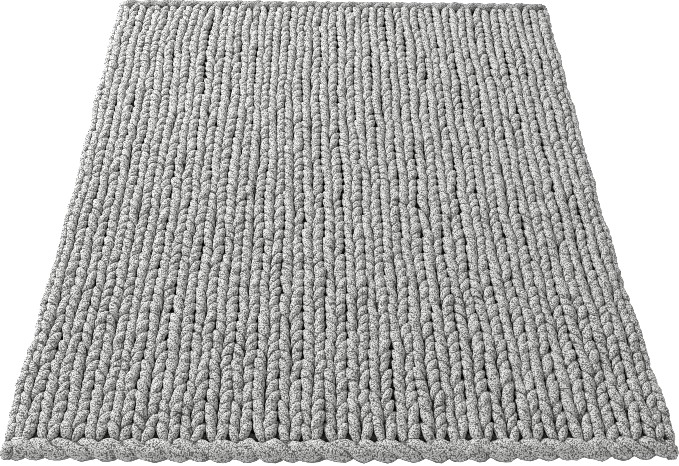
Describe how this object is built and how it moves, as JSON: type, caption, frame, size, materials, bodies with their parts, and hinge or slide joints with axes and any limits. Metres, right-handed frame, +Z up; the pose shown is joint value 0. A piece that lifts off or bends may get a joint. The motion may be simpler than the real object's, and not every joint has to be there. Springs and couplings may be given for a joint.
{
  "type": "chunky knit blanket",
  "caption": "Rectangular throw knitted in plain stocking stitch from very thick chenille yarn, with chained ends, lying flat.",
  "frame": {"origin": "under the middle of the blanket, on the surface that it lies on", "axes": "+X across the width to the right, +Y along the length from the cast-off end to the cast-on end, +Z up out of the knit side"},
  "size_m": [1.27, 1.524, 0.0396],
  "materials": {
    "chenille_yarn": "matt light grey chenille pile, soft and slightly mottled"
  },
  "bodies": {
    "root": {"knit_blanket": "chenille_yarn"}
  },
  "joints": []
}
